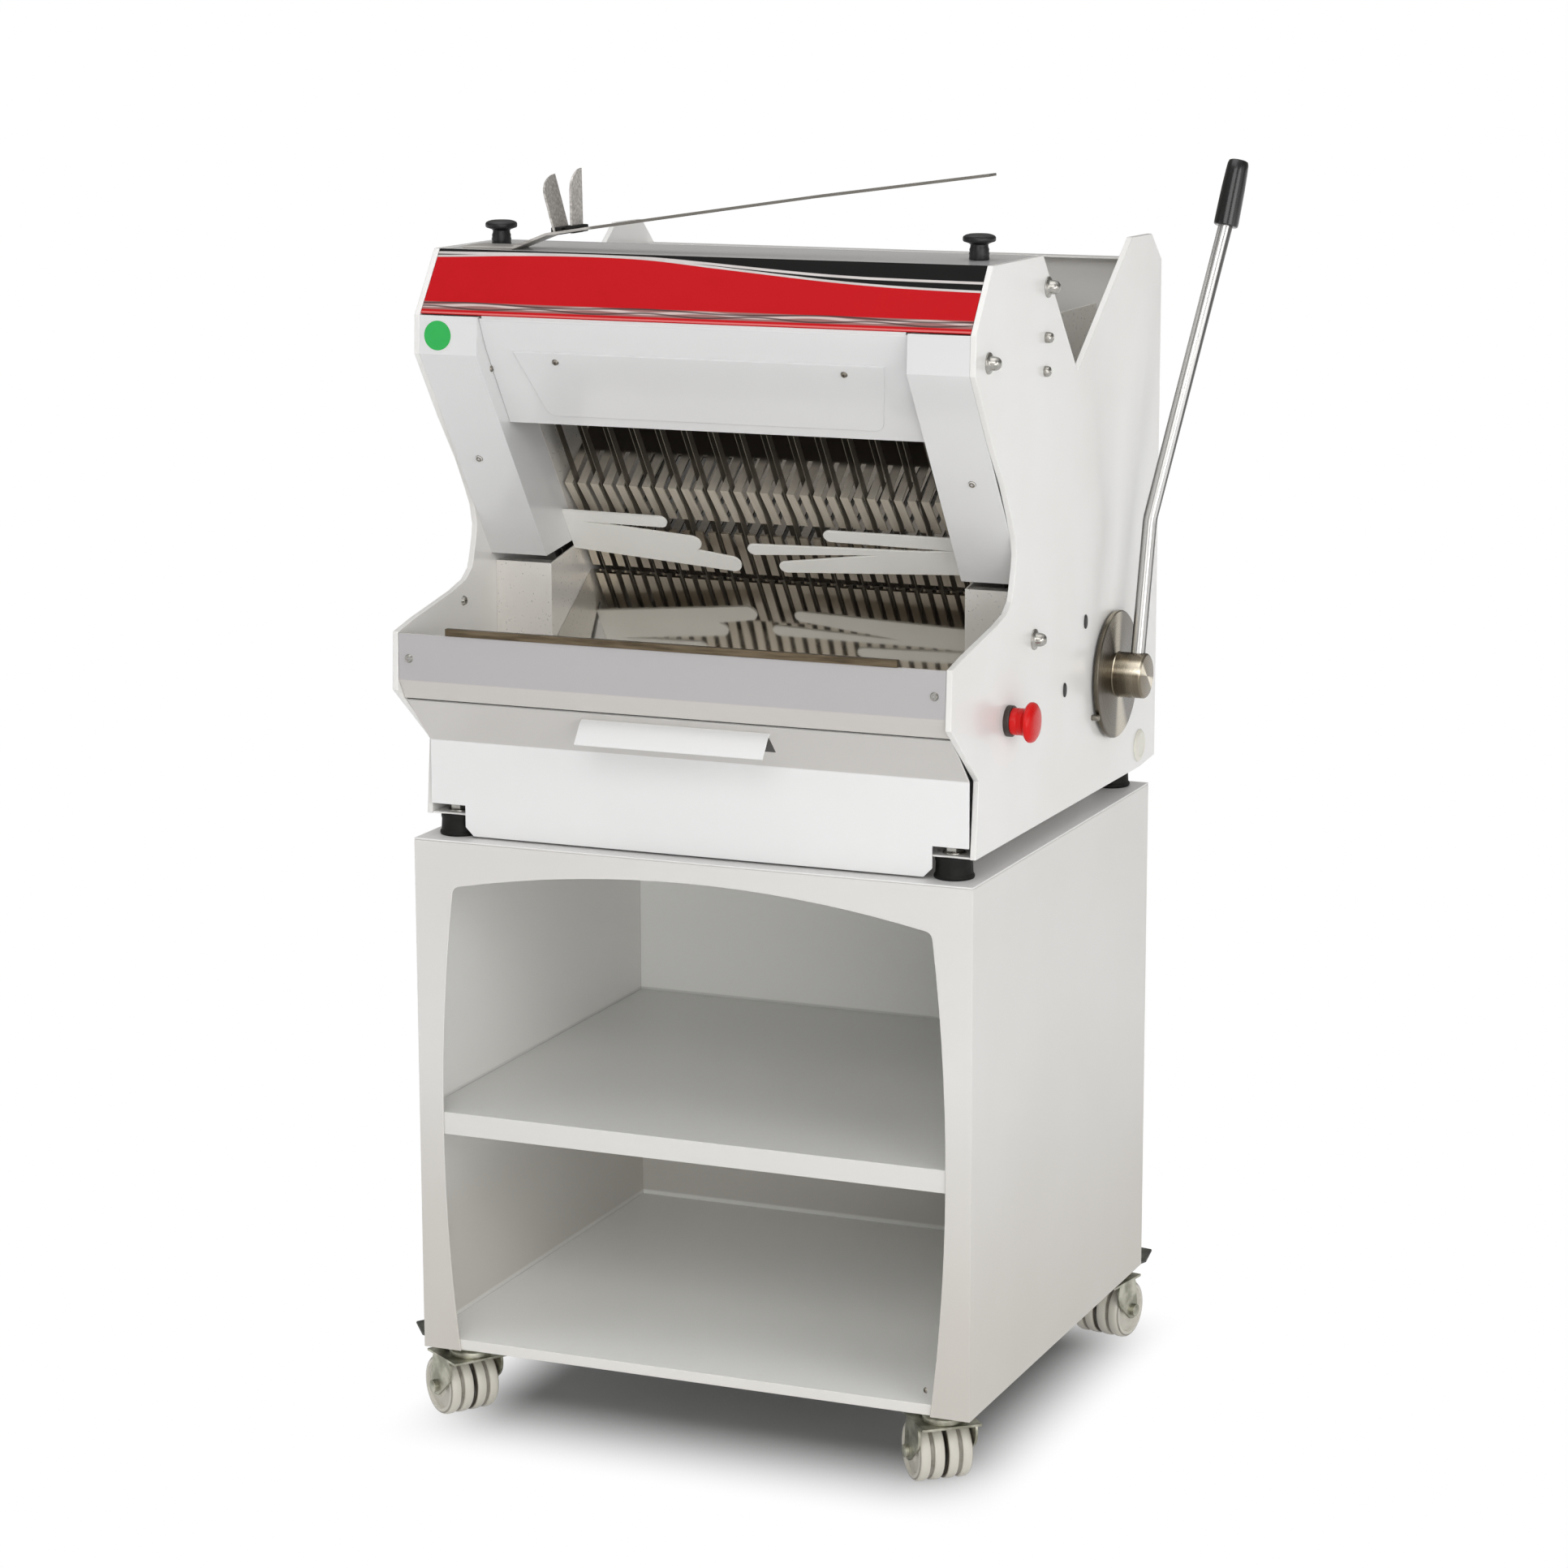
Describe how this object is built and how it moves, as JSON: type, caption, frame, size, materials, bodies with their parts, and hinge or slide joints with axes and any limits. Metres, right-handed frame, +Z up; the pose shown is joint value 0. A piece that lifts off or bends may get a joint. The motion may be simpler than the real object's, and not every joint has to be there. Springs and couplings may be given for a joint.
{
  "type": "bread slicer",
  "caption": "Frame bread slicer on a wheeled stand: slanted blades under a hood, rear loaf hopper, hand feed lever, output tray, crumb drawer and four braked casters.",
  "frame": {"origin": "bottom centre of the whole slicer's bounding box, where its casters stand", "axes": "+Z up, -Y the front with the output tray, +X the side with the feed lever"},
  "size_m": [0.7412, 0.653, 1.2876],
  "materials": {
    "stand_paint": "satin light grey powder coat",
    "head_paint": "satin pale grey powder coat",
    "fascia_print": "gloss red with a black sweep",
    "stainless": "brushed",
    "polished": "polished",
    "blade_steel": "ground",
    "white_plate": "satin white",
    "zinc": "zinc plated",
    "wheel_grey": "pale grey rubber tyre",
    "black_plastic": "matt black",
    "red_plastic": "gloss red",
    "foot_rubber": "matt black",
    "motor_paint": "dark grey",
    "belt_rubber": "matt black",
    "machined_steel": "turned"
  },
  "bodies": {
    "machine": {"stand_left_side": "stand_paint", "stand_right_side": "stand_paint", "stand_back": "stand_paint", "stand_top": "stand_paint", "stand_front_frame": "stand_paint", "stand_shelf": "stand_paint", "stand_floor": "stand_paint", "caster_plates": "zinc", "side_panel_left": "head_paint", "side_panel_right": "head_paint", "base_plate": "head_paint", "rubber_feet": "foot_rubber", "rear_cover": "head_paint", "hood_top": "head_paint", "hood_pillar_left": "head_paint", "hood_pillar_right": "head_paint", "hood_inner_panel": "head_paint", "fascia_plate": "fascia_print", "side_box_left": "stainless", "side_box_right": "stainless", "output_tray": "polished", "lip_panel": "head_paint", "finger_guard_left": "white_plate", "finger_guard_right": "white_plate", "hopper_plate": "stainless", "chute_floor": "stainless", "guide_rods": "machined_steel", "motor": "motor_paint", "drive_belt": "belt_rubber", "estop_base": "black_plastic", "bag_guide": "stainless", "side_fasteners": "zinc"},
    "feed_lever": {"lever_shaft": "machined_steel", "lever_hub": "stainless", "lever_rod": "stainless", "lever_grip": "black_plastic", "pusher_comb": "stainless"},
    "press": {"press_comb": "stainless"},
    "front_blades": {"blade_frame_front": "stainless", "blades_front": "blade_steel"},
    "rear_blades": {"blade_frame_rear": "stainless", "blades_rear": "blade_steel"},
    "crank": {"crankshaft": "machined_steel"},
    "motor_wheel": {"motor_pulley": "machined_steel"},
    "drawer": {"crumb_drawer": "head_paint"},
    "stop_button": {"estop_button": "red_plastic"},
    "left_knob": {"knob_left": "black_plastic"},
    "right_knob": {"knob_right": "black_plastic"},
    "fork_fl": {"caster_fork_fl": "zinc"},
    "wheels_fl": {"caster_wheels_fl": "wheel_grey"},
    "pedal_fl": {"caster_pedal_fl": "black_plastic"},
    "fork_fr": {"caster_fork_fr": "zinc"},
    "wheels_fr": {"caster_wheels_fr": "wheel_grey"},
    "pedal_fr": {"caster_pedal_fr": "black_plastic"},
    "fork_rl": {"caster_fork_rl": "zinc"},
    "wheels_rl": {"caster_wheels_rl": "wheel_grey"},
    "pedal_rl": {"caster_pedal_rl": "black_plastic"},
    "fork_rr": {"caster_fork_rr": "zinc"},
    "wheels_rr": {"caster_wheels_rr": "wheel_grey"},
    "pedal_rr": {"caster_pedal_rr": "black_plastic"}
  },
  "joints": [
    {"name": "lever_turn", "type": "hinge", "parent": "machine", "child": "feed_lever", "pos_m": [-0.02373, 0.14674, 0.75392], "axis": [-1, 0, 0], "range_deg": [0, 45]},
    {"name": "press_lift", "type": "hinge", "parent": "machine", "child": "press", "pos_m": [-0.02373, 0.03446, 1.05374], "axis": [-1, 0, 0], "range_deg": [0, 15]},
    {"name": "front_blade_slide", "type": "slide", "parent": "machine", "child": "front_blades", "axis": [0, -0.5736, 0.8192], "range_m": [-0.012, 0.012]},
    {"name": "rear_blade_slide", "type": "slide", "parent": "machine", "child": "rear_blades", "axis": [0, -0.5736, 0.8192], "range_m": [-0.012, 0.012]},
    {"name": "crank_spin", "type": "hinge", "parent": "machine", "child": "crank", "pos_m": [-0.02373, 0.11061, 0.70787], "axis": [1, 0, 0], "continuous": true},
    {"name": "motor_spin", "type": "hinge", "parent": "machine", "child": "motor_wheel", "pos_m": [0.02627, 0.2125, 0.697], "axis": [1, 0, 0], "continuous": true},
    {"name": "drawer_slide", "type": "slide", "parent": "machine", "child": "drawer", "axis": [0, -1, 0], "range_m": [0, 0.23]},
    {"name": "stop_press", "type": "slide", "parent": "machine", "child": "stop_button", "axis": [-1, 0, 0], "range_m": [0, 0.004]},
    {"name": "left_knob_turn", "type": "hinge", "parent": "machine", "child": "left_knob", "pos_m": [-0.27873, -0.14949, 1.219], "axis": [0, 0, 1], "continuous": true},
    {"name": "right_knob_turn", "type": "hinge", "parent": "machine", "child": "right_knob", "pos_m": [0.23127, -0.14949, 1.219], "axis": [0, 0, 1], "continuous": true},
    {"name": "swivel_fl", "type": "hinge", "parent": "machine", "child": "fork_fl", "pos_m": [-0.28573, -0.24749, 0.073], "axis": [0, 0, 1], "continuous": true},
    {"name": "roll_fl", "type": "hinge", "parent": "fork_fl", "child": "wheels_fl", "pos_m": [-0.30211, -0.23602, 0.0315], "axis": [0.5736, 0.8192, 0], "continuous": true},
    {"name": "brake_fl", "type": "hinge", "parent": "fork_fl", "child": "pedal_fl", "pos_m": [-0.3103, -0.23029, 0.0726], "axis": [-0.5736, -0.8192, 0], "range_deg": [0, 10]},
    {"name": "swivel_fr", "type": "hinge", "parent": "machine", "child": "fork_fr", "pos_m": [0.23827, -0.24749, 0.073], "axis": [0, 0, 1], "continuous": true},
    {"name": "roll_fr", "type": "hinge", "parent": "fork_fr", "child": "wheels_fr", "pos_m": [0.22541, -0.23217, 0.0315], "axis": [0.766, 0.6428, 0], "continuous": true},
    {"name": "brake_fr", "type": "hinge", "parent": "fork_fr", "child": "pedal_fr", "pos_m": [0.21899, -0.22451, 0.0726], "axis": [-0.766, -0.6428, 0], "range_deg": [0, 10]},
    {"name": "swivel_rl", "type": "hinge", "parent": "machine", "child": "fork_rl", "pos_m": [-0.28573, 0.2325, 0.073], "axis": [0, 0, 1], "continuous": true},
    {"name": "roll_rl", "type": "hinge", "parent": "fork_rl", "child": "wheels_rl", "pos_m": [-0.29257, 0.2513, 0.0315], "axis": [0.9397, 0.342, 0], "continuous": true},
    {"name": "brake_rl", "type": "hinge", "parent": "fork_rl", "child": "pedal_rl", "pos_m": [-0.29599, 0.2607, 0.0726], "axis": [-0.9397, -0.342, 0], "range_deg": [0, 10]},
    {"name": "swivel_rr", "type": "hinge", "parent": "machine", "child": "fork_rr", "pos_m": [0.23827, 0.2325, 0.073], "axis": [0, 0, 1], "continuous": true},
    {"name": "roll_rr", "type": "hinge", "parent": "fork_rr", "child": "wheels_rr", "pos_m": [0.24174, 0.2522, 0.0315], "axis": [0.9848, -0.1736, 0], "continuous": true},
    {"name": "brake_rr", "type": "hinge", "parent": "fork_rr", "child": "pedal_rr", "pos_m": [0.24348, 0.26205, 0.0726], "axis": [-0.9848, 0.1736, 0], "range_deg": [0, 10]}
  ],
  "couplings": [
    {"joint": "rear_blade_slide", "follows": "front_blade_slide", "ratio": -1},
    {"joint": "motor_spin", "follows": "crank_spin", "ratio": 2}
  ]
}
